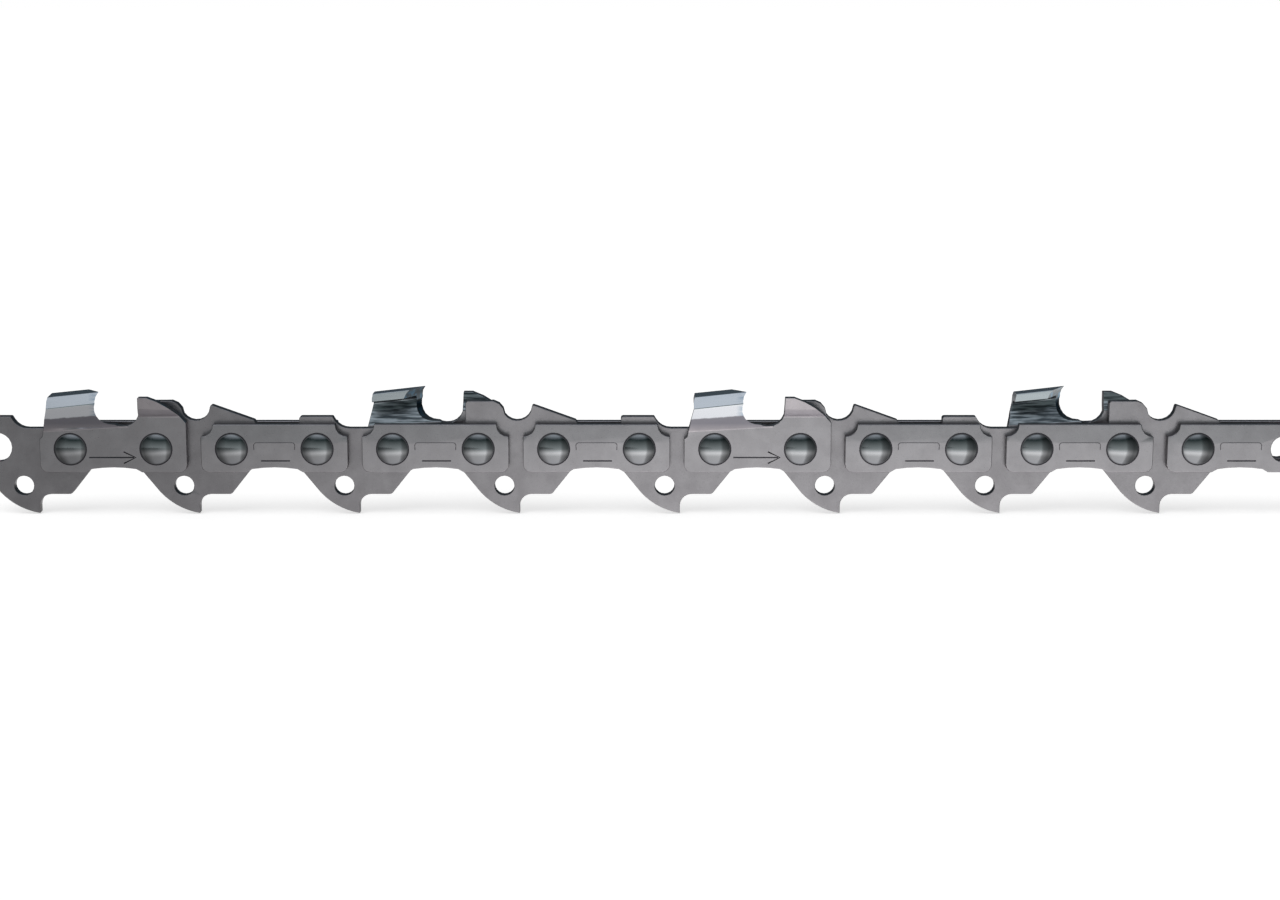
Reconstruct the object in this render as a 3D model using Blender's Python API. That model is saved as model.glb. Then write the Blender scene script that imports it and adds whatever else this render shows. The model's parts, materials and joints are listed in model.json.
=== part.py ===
"""Low-profile saw chain: an open, straight length with eight drive links and eight side links.

Frame: metres, +X is the way the chain runs, +Z is the cutting side, -Y is the right-hand side.
The origin is under the middle of the chain, level with the tips of the tangs.
Drive links lie in the middle plane. A pair of side plates joins each to the next, held by two
rivets. Every plate is drawn with its rear rivet at (0, 0) in the (x, z) plane.
"""

import math

import bmesh
import bpy
from mathutils import Vector

MM = 0.001

# Chain layout
DRIVE_LINKS = 8
DRIVE_PITCH = 8.73 * MM
PLATE_PITCH = 9.91 * MM
GAUGE = 1.30 * MM
PLATE_THICKNESS = 1.12 * MM
SIDE_PLAY = 0.03 * MM

# Rivets and their holes
ROUND_SIDES = 20
HUB_DIAMETER = 3.34 * MM
HUB_SHOULDER = 0.20 * MM
HUB_PLAY = 0.04 * MM
HUB_END_PLAY = 0.01 * MM
SHANK_PLAY = 0.02 * MM
HEAD_OVERLAP = 0.34 * MM
HEAD_HEIGHT = 0.50 * MM
DOME_SHARE = (0.62, 0.78)
HEAD_SEAT = 0.01 * MM

# Drive links: the tang that runs in the bar groove
TANG_DEPTH = 7.79 * MM
TANG_FLAT_DEPTH = 5.53 * MM
TANG_TIP_X = 4.72 * MM
TANG_FLANK = (-0.30 * MM, 4.74 * MM)
TANG_BELLY = (2.30 * MM, 6.98 * MM)
TANG_TOE_SETBACK = 0.28 * MM
TANG_TOE_RADIUS = 0.50 * MM
TANG_HOOK_RADIUS = 1.35 * MM
OIL_HOLE_DIAMETER = 2.30 * MM
OIL_HOLE_X = 2.95 * MM
OIL_HOLE_DEPTH = 4.52 * MM
LINK_REAR = 2.15 * MM
LINK_REAR_DEPTH = 2.45 * MM
LINK_NOSE_RADIUS = 3.25 * MM
NOSE_FOOT_ANGLE = -44
NOSE_SHOULDER_ANGLE = 12

# Drive links: what stands above the side plates
TAB_HEIGHT = 3.62 * MM
TAB_LENGTH = 1.72 * MM
TAB_CORNER = 0.28 * MM
TAB_FOOT_RADIUS = 1.95 * MM
TAB_FOOT_REACH = 3.64 * MM
TAB_FOOT_ANGLE = 212
PLAIN_TOP = 2.25 * MM
HORN_REAR = 1.50 * MM
HORN_HEIGHT = 5.42 * MM
HORN_LENGTH = 1.04 * MM
HORN_CORNER = 0.20 * MM
HORN_SHOULDER = (1.62 * MM, 0.50 * MM)
SCOOP_RADIUS = 1.70 * MM
SCOOP_SETBACK = 4.25 * MM
SCOOP_HEIGHT = 4.85 * MM
SCOOP_FRONT_ANGLE = -5
SCOOP_REAR_ANGLE = -146
BUMPER_RISE = 0.08 * MM
BUMPER_PEAK = 0.20 * MM
RAMP_REACH = 2.55 * MM
RAMP_END_HEIGHT = 3.44 * MM
RAMP_TOE_REACH = 2.90 * MM
RAMP_TOE_HEIGHT = 2.60 * MM

# Side plates
PLATE_GAP = 1.63 * MM
PLATE_TOP = 2.87 * MM
PLATE_END_TOP = 1.45 * MM
PLATE_LOBE_DEPTH = 2.74 * MM
PLATE_CORNER = 0.90 * MM
LOBE_REACH = 1.70 * MM
ARCH_DEPTH = 2.16 * MM
ARCH_RIM_DEPTH = 2.36 * MM
ARCH_REACH = 2.35 * MM

# Cutter tooth: side plate that leans out, narrow chamfer at the working corner, top plate
TOOTH_REAR = 2.44 * MM
TOOTH_REAR_CORNER = 0.40 * MM
HEEL_REAR = 3.20 * MM
HEEL_NOTCH = 0.30 * MM
HEEL_LEAN = 0.18 * MM
REAR_WALL = 0.90 * MM
CORNER_X = 3.70 * MM
CORNER_HEIGHT = 6.80 * MM
TOP_SLOPE = 0.115
SIDE_TAPER = 0.025
TOOTH_BEND = 2.45 * MM
FLARE_SHARE = (0.66, 0.55)
KERF_HALF = 3.00 * MM
CHAMFER_DROP = 1.25 * MM
CHAMFER_WIDTH = 0.68 * MM
TOP_PLATE_CROWN = 0.10 * MM
TOP_PLATE_OVERHANG = 0.45 * MM
TOOTH_THICKNESS = 0.95 * MM

# Filed tooth face and the gullet stamped in front of it
FILE_RADIUS = 2.25 * MM
FILE_ANGLE = math.radians(30.0)
FILE_X = 5.80 * MM
FILE_HEIGHT = 5.15 * MM
GULLET_FLOOR = 2.66 * MM
GULLET_WALL_HEIGHT = 4.00 * MM
STAMPED_FRONT = 4.40 * MM

# Depth gauge
GAUGE_SETTING = 0.65 * MM
GAUGE_REAR_SETBACK = 1.84 * MM
GAUGE_GULLET_STEP = 0.08 * MM
GAUGE_TOP_LENGTH = 1.05 * MM
GAUGE_BEND = 3.80 * MM
GAUGE_BEND_STEP = (0.35 * MM, 0.45 * MM)
GAUGE_BEND_BACK = (0.25 * MM, 0.50 * MM)
GAUGE_LEAN = 0.24
GAUGE_TOE_HEIGHT = 3.10 * MM
GAUGE_SLOPE_BULGE = 0.50 * MM

# Blank sizes that only have to reach past the finished shape
BLANK_MARGIN = 1.0 * MM
BLANK_LAP = 0.5 * MM
FILE_LAP = 0.8 * MM
FILE_OVERRUN = 0.2 * MM

# Finish: corners sharper than this stay sharp, and colours are linear red, green and blue
CREASE_ANGLE = math.radians(32.0)
STEEL = (0.300, 0.295, 0.310)
DARK_STEEL = (0.240, 0.235, 0.250)
RIVET_STEEL = (0.360, 0.370, 0.380)
CHROME = (0.620, 0.640, 0.670)

HUB_RADIUS = HUB_DIAMETER / 2
SHANK_RADIUS = HUB_RADIUS - HUB_SHOULDER
HEAD_RADIUS = SHANK_RADIUS + HEAD_OVERLAP
PLATE_INNER = GAUGE / 2 + SIDE_PLAY
PLATE_OUTER = PLATE_INNER + PLATE_THICKNESS
PLATE_END = (DRIVE_PITCH - PLATE_GAP) / 2
CHAIN_PITCH = DRIVE_PITCH + PLATE_PITCH
CHAIN_REAR = -LINK_REAR
CHAIN_FRONT = DRIVE_LINKS * CHAIN_PITCH + PLATE_END
FIRST_RIVET_X = -(CHAIN_REAR + CHAIN_FRONT) / 2


def circle_points(centre, radius, sides):
    """Corners of a regular polygon on a circle, as (x, z) pairs."""
    turns = [2 * math.pi * step / sides for step in range(sides)]
    return [(centre[0] + radius * math.cos(t), centre[1] + radius * math.sin(t)) for t in turns]


def arc(centre, radius, start, end, steps):
    """Points on a circle from the start angle to the end angle, in degrees."""
    points = []
    for step in range(steps + 1):
        turn = math.radians(start + (end - start) * step / steps)
        points.append((centre[0] + radius * math.cos(turn), centre[1] + radius * math.sin(turn)))
    return points


def arc_through(first, middle, last, steps):
    """Points from first to last on the circle that passes through all three."""
    (ax, az), (bx, bz), (cx, cz) = first, middle, last
    double_area = 2 * (ax * (bz - cz) + bx * (cz - az) + cx * (az - bz))
    a2, b2, c2 = ax * ax + az * az, bx * bx + bz * bz, cx * cx + cz * cz
    x = (a2 * (bz - cz) + b2 * (cz - az) + c2 * (az - bz)) / double_area
    z = (a2 * (cx - bx) + b2 * (ax - cx) + c2 * (bx - ax)) / double_area
    start = math.atan2(az - z, ax - x)
    to_middle = (math.atan2(bz - z, bx - x) - start) % (2 * math.pi)
    to_last = (math.atan2(cz - z, cx - x) - start) % (2 * math.pi)
    if to_middle > to_last:
        to_last -= 2 * math.pi
    radius = math.hypot(ax - x, az - z)
    turns = [start + to_last * step / steps for step in range(steps + 1)]
    return [(x + radius * math.cos(t), z + radius * math.sin(t)) for t in turns]


def rounded(before, corner, after, radius, steps):
    """Points on an arc that rounds a corner and touches both of its sides."""
    to_before = (Vector(before) - Vector(corner)).normalized()
    to_after = (Vector(after) - Vector(corner)).normalized()
    half_angle = to_before.angle(to_after) / 2
    reach = radius / math.tan(half_angle)
    middle = (to_before + to_after).normalized() * (radius / math.sin(half_angle) - radius)
    start, end = Vector(corner) + to_before * reach, Vector(corner) + to_after * reach
    return arc_through(tuple(start), tuple(Vector(corner) + middle), tuple(end), steps)


def from_front(distance, height):
    """A point placed from a drive link's front rivet."""
    return (DRIVE_PITCH + distance, height)


def nose_point(angle):
    """A point on the drive link's round nose, at an angle about its front rivet."""
    turn = math.radians(angle)
    return from_front(LINK_NOSE_RADIUS * math.cos(turn), LINK_NOSE_RADIUS * math.sin(turn))


def tang_outline():
    """Down the link's rear flank, round the tang's tip and hook, and up to the nose."""
    flank = (TANG_FLANK[0], -TANG_FLANK[1])
    belly = (TANG_BELLY[0], -TANG_BELLY[1])
    tip = (TANG_TIP_X, -TANG_DEPTH)
    hook_centre = (TANG_TIP_X + TANG_HOOK_RADIUS, -TANG_FLAT_DEPTH - TANG_HOOK_RADIUS)
    toe = from_front(-TANG_TOE_SETBACK, -TANG_FLAT_DEPTH)
    nose_foot = nose_point(NOSE_FOOT_ANGLE)
    points = [(-LINK_REAR, -LINK_REAR_DEPTH)]
    points += arc_through(flank, belly, tip, 8)
    points += arc(hook_centre, TANG_HOOK_RADIUS, 180, 90, 5)
    points += rounded(points[-1], toe, nose_foot, TANG_TOE_RADIUS, 3)
    points.append(nose_foot)
    return points


def plain_outline():
    """Plain drive link: a square tab over the rear rivet, low behind the cutter."""
    nose_top = math.degrees(math.asin(PLAIN_TOP / LINK_NOSE_RADIUS))
    foot_centre = (TAB_FOOT_REACH, PLAIN_TOP + TAB_FOOT_RADIUS)
    corner_centre = (-LINK_REAR + TAB_CORNER, TAB_HEIGHT - TAB_CORNER)
    points = tang_outline()
    points += arc(from_front(0, 0), LINK_NOSE_RADIUS, NOSE_FOOT_ANGLE / 2, nose_top, 4)
    points += arc(foot_centre, TAB_FOOT_RADIUS, 270, TAB_FOOT_ANGLE, 4)
    points.append((TAB_LENGTH, TAB_HEIGHT))
    points += arc(corner_centre, TAB_CORNER, 90, 180, 3)
    return points


def bumper_outline():
    """Bumper drive link: a horn beside the depth gauge, a scoop, then a ramp for the wood."""
    scoop_centre = from_front(-SCOOP_SETBACK, SCOOP_HEIGHT)
    scoop = arc(scoop_centre, SCOOP_RADIUS, SCOOP_FRONT_ANGLE, SCOOP_REAR_ANGLE, 8)
    peak_rear = from_front(SCOOP_RADIUS - SCOOP_SETBACK + BUMPER_RISE, SCOOP_HEIGHT + BUMPER_RISE)
    peak_front = (peak_rear[0] + BUMPER_PEAK, peak_rear[1])
    ramp_toe = from_front(RAMP_TOE_REACH, RAMP_TOE_HEIGHT)
    shoulder_along, shoulder_down = HORN_SHOULDER
    shoulder = (HORN_LENGTH + shoulder_along, HORN_HEIGHT - shoulder_down)
    points = tang_outline()
    nose_foot, nose_shoulder = nose_point(NOSE_FOOT_ANGLE / 2), nose_point(NOSE_SHOULDER_ANGLE)
    points += arc_through(nose_foot, nose_shoulder, ramp_toe, 3)
    points += [from_front(RAMP_REACH, RAMP_END_HEIGHT), peak_front, peak_rear]
    points += scoop
    points += arc_through(scoop[-1], shoulder, (HORN_LENGTH, HORN_HEIGHT), 4)[1:]
    points += [(-HORN_REAR + HORN_CORNER, HORN_HEIGHT), (-HORN_REAR, HORN_HEIGHT - HORN_CORNER)]
    points += [(-HORN_REAR, PLATE_TOP), (-LINK_REAR, LINK_REAR_DEPTH)]
    return points


def plate_foot_outline():
    """Lower edge of a side plate, from its rear end to its front end."""
    rear, front = -PLATE_END, PLATE_PITCH + PLATE_END
    corner_height = PLATE_CORNER - PLATE_LOBE_DEPTH
    points = arc((rear + PLATE_CORNER, corner_height), PLATE_CORNER, 180, 270, 3)
    points += [(LOBE_REACH, -PLATE_LOBE_DEPTH)]
    points += arc_through(
        (ARCH_REACH, -ARCH_RIM_DEPTH),
        (PLATE_PITCH / 2, -ARCH_DEPTH),
        (PLATE_PITCH - ARCH_REACH, -ARCH_RIM_DEPTH),
        4,
    )
    points += [(PLATE_PITCH - LOBE_REACH, -PLATE_LOBE_DEPTH)]
    points += arc((front - PLATE_CORNER, corner_height), PLATE_CORNER, 270, 360, 3)
    return points


def strap_outline():
    """Tie strap: round bites out of both upper corners clear the neighbouring plates."""
    bite = PLATE_TOP - PLATE_END_TOP
    points = plate_foot_outline()
    points += arc((PLATE_PITCH + PLATE_END, PLATE_TOP), bite, 270, 180, 4)
    points += arc((-PLATE_END, PLATE_TOP), bite, 0, -90, 4)
    return points


def gauge_rear():
    """Where the depth gauge's rear edge stands."""
    return PLATE_PITCH - GAUGE_REAR_SETBACK


def gullet_middle():
    """Halfway from the stamped tooth front to the depth gauge."""
    return (STAMPED_FRONT + gauge_rear()) / 2


def gauge_outline():
    """Up the depth gauge's front slope, over its top and down into the gullet."""
    top = CORNER_HEIGHT - GAUGE_SETTING
    slope_top = (gauge_rear() + GAUGE_TOP_LENGTH, top)
    toe = (PLATE_PITCH + PLATE_END, GAUGE_TOE_HEIGHT)
    slope_middle = ((slope_top[0] + toe[0]) / 2, (top + GAUGE_TOE_HEIGHT) / 2 + GAUGE_SLOPE_BULGE)
    points = arc_through(toe, slope_middle, slope_top, 4)
    points += [(gauge_rear(), top)]
    points += arc_through(
        (gauge_rear() - GAUGE_GULLET_STEP, GULLET_WALL_HEIGHT),
        (gullet_middle(), GULLET_FLOOR),
        (STAMPED_FRONT - GAUGE_GULLET_STEP, GULLET_WALL_HEIGHT),
        8,
    )
    return points


def cutter_outline():
    """Cutter seen from the side, before its face is filed: foot, depth gauge, gullet, tooth."""
    above = CORNER_HEIGHT + BLANK_MARGIN
    rear_corner = CORNER_HEIGHT - TOP_SLOPE * (CORNER_X + TOOTH_REAR) - TOOTH_REAR_CORNER
    points = plate_foot_outline()
    points += gauge_outline()
    points += [(STAMPED_FRONT, above), (-TOOTH_REAR + TOOTH_REAR_CORNER, above)]
    points += [(-TOOTH_REAR + TOOTH_REAR_CORNER, rear_corner + TOOTH_REAR_CORNER)]
    points += [(-TOOTH_REAR, rear_corner), (-TOOTH_REAR, rear_corner - REAR_WALL)]
    points += [(-HEEL_REAR + HEEL_LEAN, TOOTH_BEND), (-HEEL_REAR, PLATE_END_TOP)]
    points += [(-PLATE_END, PLATE_END_TOP - HEEL_NOTCH)]
    return points


def mesh_from(bm, name):
    """Closes up a bmesh, turns its faces outwards and stores it as a mesh."""
    bmesh.ops.remove_doubles(bm, verts=bm.verts, dist=0.0005 * MM)
    bmesh.ops.recalc_face_normals(bm, faces=bm.faces)
    mesh = bpy.data.meshes.new(name)
    bm.to_mesh(mesh)
    bm.free()
    return mesh


def plate_mesh(name, outline, y_low, y_high):
    """A flat plate: the (x, z) outline extruded from y_low to y_high."""
    bm = bmesh.new()
    face = bm.faces.new([bm.verts.new((x, y_low, z)) for x, z in outline])
    extruded = bmesh.ops.extrude_face_region(bm, geom=[face])["geom"]
    moved = [item for item in extruded if isinstance(item, bmesh.types.BMVert)]
    bmesh.ops.translate(bm, verts=moved, vec=(0, y_high - y_low, 0))
    return mesh_from(bm, name)


def loft_mesh(name, rings):
    """A solid skinned over closed rings with equal numbers of points, capped at both ends."""
    bm = bmesh.new()
    loops = [[bm.verts.new(point) for point in ring] for ring in rings]
    for near, far in zip(loops, loops[1:]):
        for here in range(len(near)):
            beside = (here + 1) % len(near)
            bm.faces.new((near[here], near[beside], far[beside], far[here]))
    bm.faces.new(loops[0])
    bm.faces.new(reversed(loops[-1]))
    return mesh_from(bm, name)


def joined_mesh(name, meshes):
    """Several separate closed meshes stored as one, to cut with them in one go."""
    bm = bmesh.new()
    for mesh in meshes:
        bm.from_mesh(mesh)
    return mesh_from(bm, name)


def cut_mesh(name, blank, steps):
    """The blank after a list of Boolean steps, each an operation and the mesh to use."""
    scene = bpy.context.collection
    body = bpy.data.objects.new(name, blank)
    scene.objects.link(body)
    tools = []
    for operation, tool_mesh in steps:
        tool = bpy.data.objects.new(name + "_tool", tool_mesh)
        tool.hide_render = True
        tool.display_type = "WIRE"
        scene.objects.link(tool)
        tools.append(tool)
        modifier = body.modifiers.new(operation.lower(), "BOOLEAN")
        modifier.operation = operation
        modifier.object = tool
        modifier.solver = "EXACT"
    graph = bpy.context.evaluated_depsgraph_get()
    result = bpy.data.meshes.new_from_object(body.evaluated_get(graph))
    result.name = name
    for item in [body, *tools]:
        bpy.data.objects.remove(item)
    return result


def hole_cutter(holes, y_low, y_high):
    """Drills for the given (centre, radius) holes, longer than the plate is thick."""
    start, end = y_low - BLANK_MARGIN, y_high + BLANK_MARGIN
    rounds = [circle_points(centre, radius, ROUND_SIDES) for centre, radius in holes]
    return joined_mesh("drills", [plate_mesh("drill", points, start, end) for points in rounds])


def drive_link_mesh(name, outline):
    """A drive link: two holes that turn on the rivet hubs, and the oil hole in the tang."""
    hole = HUB_RADIUS + HUB_PLAY
    holes = [
        ((0, 0), hole),
        ((DRIVE_PITCH, 0), hole),
        ((OIL_HOLE_X, -OIL_HOLE_DEPTH), OIL_HOLE_DIAMETER / 2),
    ]
    half = GAUGE / 2
    blank = plate_mesh(name, outline, -half, half)
    return cut_mesh(name, blank, [("DIFFERENCE", hole_cutter(holes, -half, half))])


def rivet_hole_cutter():
    """Drills for the two rivet holes of a right-hand side plate."""
    hole = SHANK_RADIUS + SHANK_PLAY
    return hole_cutter([((0, 0), hole), ((PLATE_PITCH, 0), hole)], -PLATE_OUTER, -PLATE_INNER)


def strap_mesh():
    """A right-hand tie strap."""
    blank = plate_mesh("tie_strap", strap_outline(), -PLATE_OUTER, -PLATE_INNER)
    return cut_mesh("tie_strap", blank, [("DIFFERENCE", rivet_hole_cutter())])


def offset_path(path, distance):
    """The path moved sideways by a distance, to its left, with mitred corners."""
    moved = []
    for here, point in enumerate(path):
        before = Vector(path[max(here - 1, 0)])
        after = Vector(path[min(here + 1, len(path) - 1)])
        point = Vector(point)
        into = (point - before).normalized() if here else (after - point).normalized()
        out = (after - point).normalized() if here < len(path) - 1 else into
        normal = Vector((-into.y - out.y, into.x + out.x)).normalized()
        mitre = distance / normal.dot(Vector((-into.y, into.x)))
        moved.append(tuple(point + normal * mitre))
    return moved


def bent_ring(x, path, thickness):
    """A closed ring of the bent sheet at x, from the outer face's (out, up) path."""
    inner = offset_path(path, thickness)
    inner[0] = (PLATE_INNER, path[0][1])
    inner[1] = (PLATE_INNER, inner[1][1])
    return [(x, -out, up) for out, up in path + inner[::-1]]


def tooth_ring(x):
    """Section of the tooth at x: it leans out to the kerf, then turns in over the chain."""
    rise = TOP_SLOPE * (x - CORNER_X)
    widen = SIDE_TAPER * (x - CORNER_X)
    out_share, up_share = FLARE_SHARE
    bend = TOOTH_BEND + rise / 2
    top = CORNER_HEIGHT + rise
    kerf = KERF_HALF + widen
    flare_out = PLATE_OUTER + out_share * (kerf - PLATE_OUTER)
    flare_up = bend + up_share * (top - CHAMFER_DROP - bend)
    path = [
        (PLATE_OUTER, -PLATE_LOBE_DEPTH - BLANK_MARGIN),
        (PLATE_OUTER, bend),
        (flare_out, flare_up),
        (kerf, top - CHAMFER_DROP),
        (kerf - CHAMFER_WIDTH, top),
        (-TOP_PLATE_OVERHANG, top + TOP_PLATE_CROWN),
    ]
    return bent_ring(x, path, TOOTH_THICKNESS)


def gauge_ring(x):
    """Section of the depth gauge at x: set out from the chain by a double bend, leaning out."""
    first_out, first_up = GAUGE_BEND_STEP
    second_out, second_up = GAUGE_BEND_BACK
    bend_out = PLATE_OUTER + first_out + second_out
    bend_top = GAUGE_BEND + first_up + second_up
    above = CORNER_HEIGHT + BLANK_MARGIN
    path = [
        (PLATE_OUTER, -PLATE_LOBE_DEPTH - BLANK_MARGIN),
        (PLATE_OUTER, GAUGE_BEND),
        (PLATE_OUTER + first_out, GAUGE_BEND + first_up),
        (bend_out, bend_top),
        (bend_out + GAUGE_LEAN * (above - bend_top), above),
    ]
    return bent_ring(x, path, PLATE_THICKNESS)


def file_cutter():
    """What a round file takes out, laid across the tooth at the filing angle.

    Its round side is an ellipse sheared along Y. Its other side stands square in the gullet.
    """
    stretch = 1 / math.cos(FILE_ANGLE)
    round_side = arc((0, 0), FILE_RADIUS, 90, 270, 12)
    sections = []
    for y in (-KERF_HALF - FILE_OVERRUN, TOP_PLATE_OVERHANG + FILE_OVERRUN):
        centre = FILE_X - math.tan(FILE_ANGLE) * (y + KERF_HALF)
        ring = [(centre + x * stretch, y, FILE_HEIGHT + z) for x, z in round_side]
        front = gullet_middle() + FILE_LAP
        ring += [(front, y, FILE_HEIGHT - FILE_RADIUS), (front, y, FILE_HEIGHT + FILE_RADIUS)]
        sections.append(ring)
    return loft_mesh("file", sections)


def cutter_mesh():
    """A right-hand cutter: two bent lengths of sheet, stamped to the outline, drilled and filed."""
    rear, front = -PLATE_END - BLANK_MARGIN, PLATE_PITCH + PLATE_END + BLANK_MARGIN
    tooth = loft_mesh("cutter", [tooth_ring(rear), tooth_ring(gullet_middle() + BLANK_LAP)])
    depth_gauge = loft_mesh("gauge", [gauge_ring(gullet_middle() - BLANK_LAP), gauge_ring(front)])
    die = plate_mesh("die", cutter_outline(), -KERF_HALF - 2 * BLANK_MARGIN, KERF_HALF)
    steps = [
        ("UNION", depth_gauge),
        ("INTERSECT", die),
        ("DIFFERENCE", rivet_hole_cutter()),
        ("DIFFERENCE", file_cutter()),
    ]
    return cut_mesh("cutter", tooth, steps)


def rivet_mesh():
    """A rivet turned about Y: domed head, shank, hub, shank, domed head."""
    hub_end = PLATE_INNER - HUB_END_PLAY
    seat = PLATE_OUTER + HEAD_SEAT
    crown = seat + HEAD_HEIGHT
    out_share, up_share = DOME_SHARE
    half = [
        (0.0, crown),
        (out_share * HEAD_RADIUS, seat + up_share * HEAD_HEIGHT),
        (HEAD_RADIUS, seat),
        (SHANK_RADIUS, seat),
        (SHANK_RADIUS, hub_end),
        (HUB_RADIUS, hub_end),
    ]
    profile = [(r, -y) for r, y in half] + [(r, y) for r, y in reversed(half)]
    bm = bmesh.new()
    verts = [bm.verts.new((r, y, 0)) for r, y in profile]
    edges = [bm.edges.new(pair) for pair in zip(verts, verts[1:])]
    bmesh.ops.spin(
        bm,
        geom=verts + edges,
        cent=(0, 0, 0),
        axis=(0, 1, 0),
        angle=2 * math.pi,
        steps=ROUND_SIDES,
        use_merge=True,
    )
    return mesh_from(bm, "rivet")


def mirrored(mesh, name):
    """The same piece for the left-hand side of the chain."""
    bm = bmesh.new()
    bm.from_mesh(mesh)
    bmesh.ops.scale(bm, vec=(1, -1, 1), verts=bm.verts)
    bmesh.ops.reverse_faces(bm, faces=bm.faces)
    return mesh_from(bm, name)


def metal(name, colour, roughness):
    """A plain metal with the given colour."""
    material = bpy.data.materials.new(name)
    material.use_nodes = True
    shader = material.node_tree.nodes["Principled BSDF"]
    shader.inputs["Base Color"].default_value = (*colour, 1.0)
    shader.inputs["Metallic"].default_value = 1.0
    shader.inputs["Roughness"].default_value = roughness
    return material


def shade_round(mesh):
    """Smooth shading, with creases kept sharp."""
    mesh.shade_smooth()
    mesh.set_sharp_from_angle(angle=CREASE_ANGLE)


def rivet_position(number):
    """Where a rivet's axis crosses the middle plane. Number 0 is the empty rear hole."""
    pairs, past_drive_link = divmod(number, 2)
    x = FIRST_RIVET_X + pairs * CHAIN_PITCH + past_drive_link * DRIVE_PITCH
    return Vector((x, 0, TANG_DEPTH))


def place(item, pivot, point):
    """Hangs an item on a pivot, with its origin at a point of the chain."""
    bpy.context.collection.objects.link(item)
    item.parent = pivot
    item.location = point
    while pivot:
        item.location -= pivot.location
        pivot = pivot.parent


def add_pivot(number, parent):
    """An empty on a rivet's axis that carries the links beyond it."""
    pivot = bpy.data.objects.new(f"pivot_{number:02d}", None)
    pivot.empty_display_size = HEAD_RADIUS
    place(pivot, parent, rivet_position(number))
    return pivot


def add_drive_link(link, pivot, meshes):
    """Drive links are bumper and plain by turns, and the rearmost is plain."""
    number = link // 2 + 1
    kind = "bumper_link" if number % 2 == 0 else "drive_link"
    place(bpy.data.objects.new(f"{kind}_{number}", meshes[kind]), pivot, rivet_position(link))


def add_side_link(link, pivot, meshes):
    """Side plates and their rivets. Every second pair has a cutter, right and left by turns."""
    number = link // 2 + 1
    cutter_side = {1: "right", 3: "left"}.get(number % 4)
    for side in ("right", "left"):
        if side == cutter_side:
            name, mesh = f"{side}_cutter_{number}", meshes[side + "_cutter"]
        else:
            name, mesh = f"tie_strap_{number}_{side}", meshes[side + "_strap"]
        place(bpy.data.objects.new(name, mesh), pivot, rivet_position(link))
    for rivet in (link, link + 1):
        if rivet < 2 * DRIVE_LINKS:
            piece = bpy.data.objects.new(f"rivet_{rivet:02d}", meshes["rivet"])
            place(piece, pivot, rivet_position(rivet))


def add_link(link, pivot, meshes):
    """Link number 0 is the rearmost drive link. Even numbers are drive links, odd ones side links."""
    if link % 2 == 0:
        add_drive_link(link, pivot, meshes)
    else:
        add_side_link(link, pivot, meshes)


def build_meshes():
    """One mesh for each kind of piece, with its metal."""
    strap, cutter = strap_mesh(), cutter_mesh()
    meshes = {
        "drive_link": drive_link_mesh("drive_link", plain_outline()),
        "bumper_link": drive_link_mesh("bumper_link", bumper_outline()),
        "right_strap": strap,
        "left_strap": mirrored(strap, "left_strap"),
        "right_cutter": cutter,
        "left_cutter": mirrored(cutter, "left_cutter"),
        "rivet": rivet_mesh(),
    }
    metals = {
        "link": metal("stamped_steel", STEEL, 0.38),
        "strap": metal("blued_steel", DARK_STEEL, 0.42),
        "cutter": metal("hard_chrome", CHROME, 0.16),
        "rivet": metal("peened_steel", RIVET_STEEL, 0.22),
    }
    for name, mesh in meshes.items():
        mesh.materials.clear()
        mesh.materials.append(metals[name.split("_")[-1]])
        shade_round(mesh)
    return meshes


def build_chain():
    """The whole length, hung on pivots that spread from the middle drive link to both ends."""
    meshes = build_meshes()
    middle = DRIVE_LINKS
    add_link(middle, None, meshes)
    pivot = None
    for link in range(middle + 1, 2 * DRIVE_LINKS):
        pivot = add_pivot(link, pivot)
        add_link(link, pivot, meshes)
    pivot = None
    for link in range(middle - 1, -1, -1):
        pivot = add_pivot(link + 1, pivot)
        add_link(link, pivot, meshes)


for leftover in list(bpy.data.objects):
    bpy.data.objects.remove(leftover, do_unlink=True)
build_chain()
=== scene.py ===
"""Looks of a saw chain: rounded plates, chromed cutters, turned rivets and a plain studio.

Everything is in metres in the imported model's own frame: +X is the way the chain runs, +Z is the
cutting side and the camera stands on the -Y side.
"""

import json
import math

import bmesh
import bpy
from bpy.props import FloatProperty, FloatVectorProperty, IntProperty, PointerProperty
from bpy.types import Operator, Panel, PropertyGroup
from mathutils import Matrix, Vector


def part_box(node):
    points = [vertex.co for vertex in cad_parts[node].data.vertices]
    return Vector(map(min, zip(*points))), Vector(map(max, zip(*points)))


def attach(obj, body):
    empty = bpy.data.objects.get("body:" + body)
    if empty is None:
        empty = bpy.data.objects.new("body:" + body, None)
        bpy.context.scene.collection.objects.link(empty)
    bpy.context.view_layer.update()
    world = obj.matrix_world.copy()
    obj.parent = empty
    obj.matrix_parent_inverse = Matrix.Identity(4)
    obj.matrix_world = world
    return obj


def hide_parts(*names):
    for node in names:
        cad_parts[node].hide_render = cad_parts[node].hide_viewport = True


bl_info = {
    "name": "Saw Chain Finish",
    "version": (1, 0, 0),
    "blender": (4, 5, 0),
    "location": "3D View > Sidebar > Saw Chain",
    "description": "Rounded plates, chromed cutters, turned rivets and a plain studio for a saw chain",
    "category": "Object",
}

MM = 0.001
PHOTO_SIZE = (1280, 900)

# Points closer together than this are one point
JOIN = 0.001 * MM

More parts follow.
